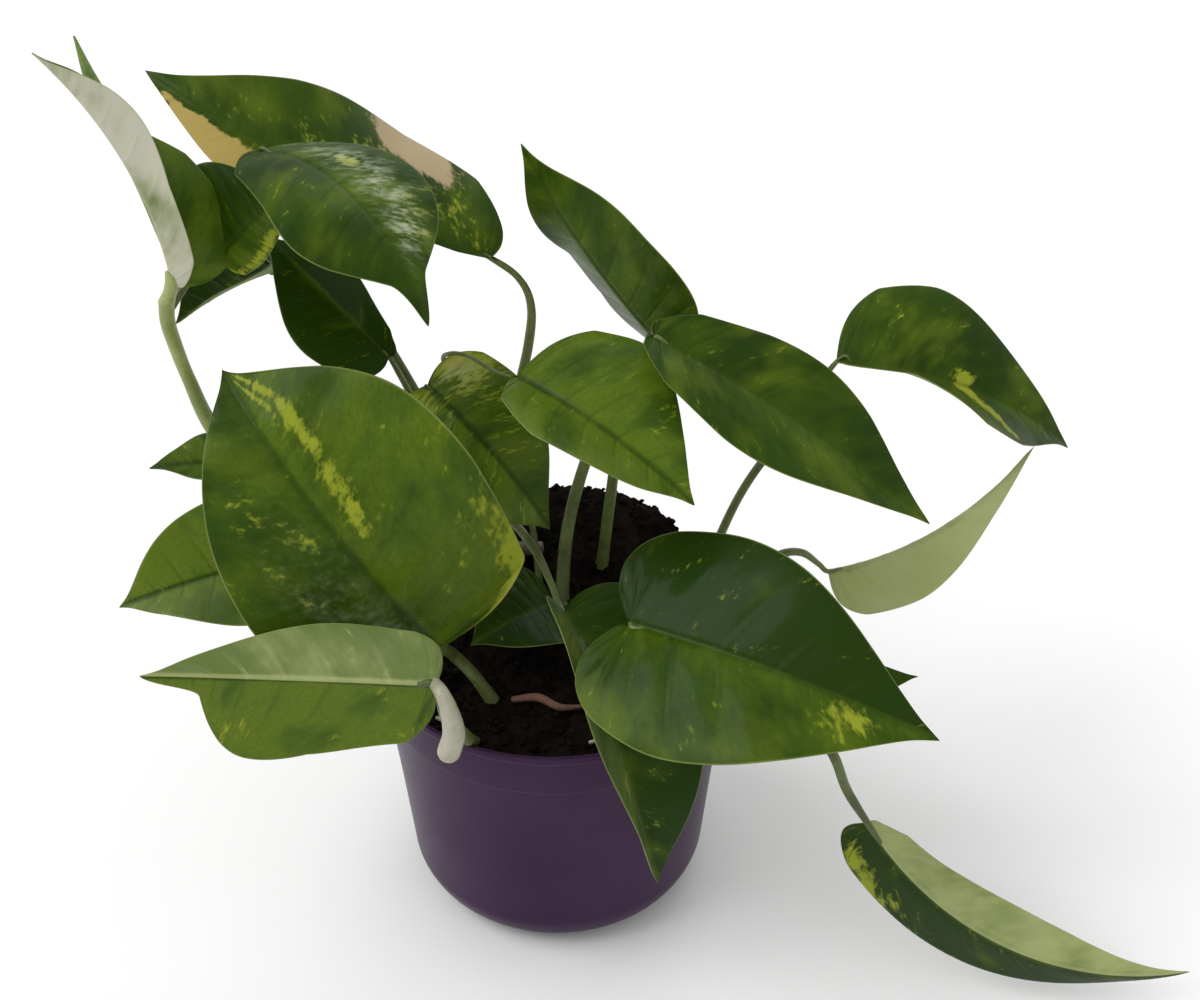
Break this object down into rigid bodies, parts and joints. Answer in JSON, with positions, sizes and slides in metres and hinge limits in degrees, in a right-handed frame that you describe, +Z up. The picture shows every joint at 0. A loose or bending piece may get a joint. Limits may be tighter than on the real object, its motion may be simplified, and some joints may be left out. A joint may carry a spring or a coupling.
{
  "type": "potted pothos plant",
  "caption": "Young pothos in a tapered plastic nursery pot: raised compost plug, long leaf stalks and large variegated heart-shaped leaves.",
  "frame": {"origin": "centre of the pot's flat underside, on the surface it stands on", "axes": "+Z up along the pot's axis; the front, where the low broad leaves hang over the rim, is -Y; +X is the viewer's right"},
  "size_m": [0.3402, 0.1836, 0.2983],
  "materials": {
    "pot_plastic": "satin purple moulded plastic",
    "compost": "almost black crumbly peat compost, damp",
    "leaf_green": "glossy green blade with lime and cream streaks",
    "leaf_pale": "blade seen from its paler back",
    "stalk_green": "smooth green stalk",
    "stem_green": "smooth yellow-green vine stem",
    "shoot_pale": "pale waxy young shoot",
    "root_brown": "brown root skin"
  },
  "bodies": {
    "root": {"pot": "pot_plastic", "soil": "compost", "leaf_01": "leaf_pale", "leaf_02": "leaf_green", "leaf_03": "leaf_green", "leaf_04": "leaf_green", "leaf_05": "leaf_green", "leaf_06": "leaf_green", "leaf_07": "leaf_green", "leaf_08": "leaf_green", "leaf_09": "leaf_pale", "leaf_10": "leaf_green", "leaf_11": "leaf_green", "leaf_12": "leaf_green", "leaf_13": "leaf_green", "leaf_14": "leaf_green", "leaf_15": "leaf_green", "leaf_16": "leaf_green", "leaf_17": "leaf_pale", "leaf_18": "leaf_green", "leaf_19": "leaf_pale", "leaf_20": "leaf_green", "leaf_21": "leaf_green", "stalk_01": "stalk_green", "stalk_02": "stalk_green", "stalk_03": "stalk_green", "stalk_04": "stalk_green", "stalk_05": "stalk_green", "stalk_06": "stalk_green", "stalk_07": "stalk_green", "stalk_08": "stalk_green", "stalk_09": "stalk_green", "stalk_10": "stalk_green", "stalk_11": "stalk_green", "stalk_12": "stalk_green", "stalk_13": "stalk_green", "stalk_14": "stalk_green", "stalk_15": "stalk_green", "stalk_16": "stalk_green", "stalk_17": "stalk_green", "stalk_18": "stalk_green", "stalk_19": "stalk_green", "stalk_20": "stalk_green", "stalk_21": "stalk_green", "stem_left": "stem_green", "stem_right": "stem_green", "shoot": "shoot_pale", "new_leaf": "leaf_green", "cut_stub": "shoot_pale", "root_main": "root_brown", "root_small_a": "shoot_pale", "root_small_b": "shoot_pale"}
  },
  "joints": []
}
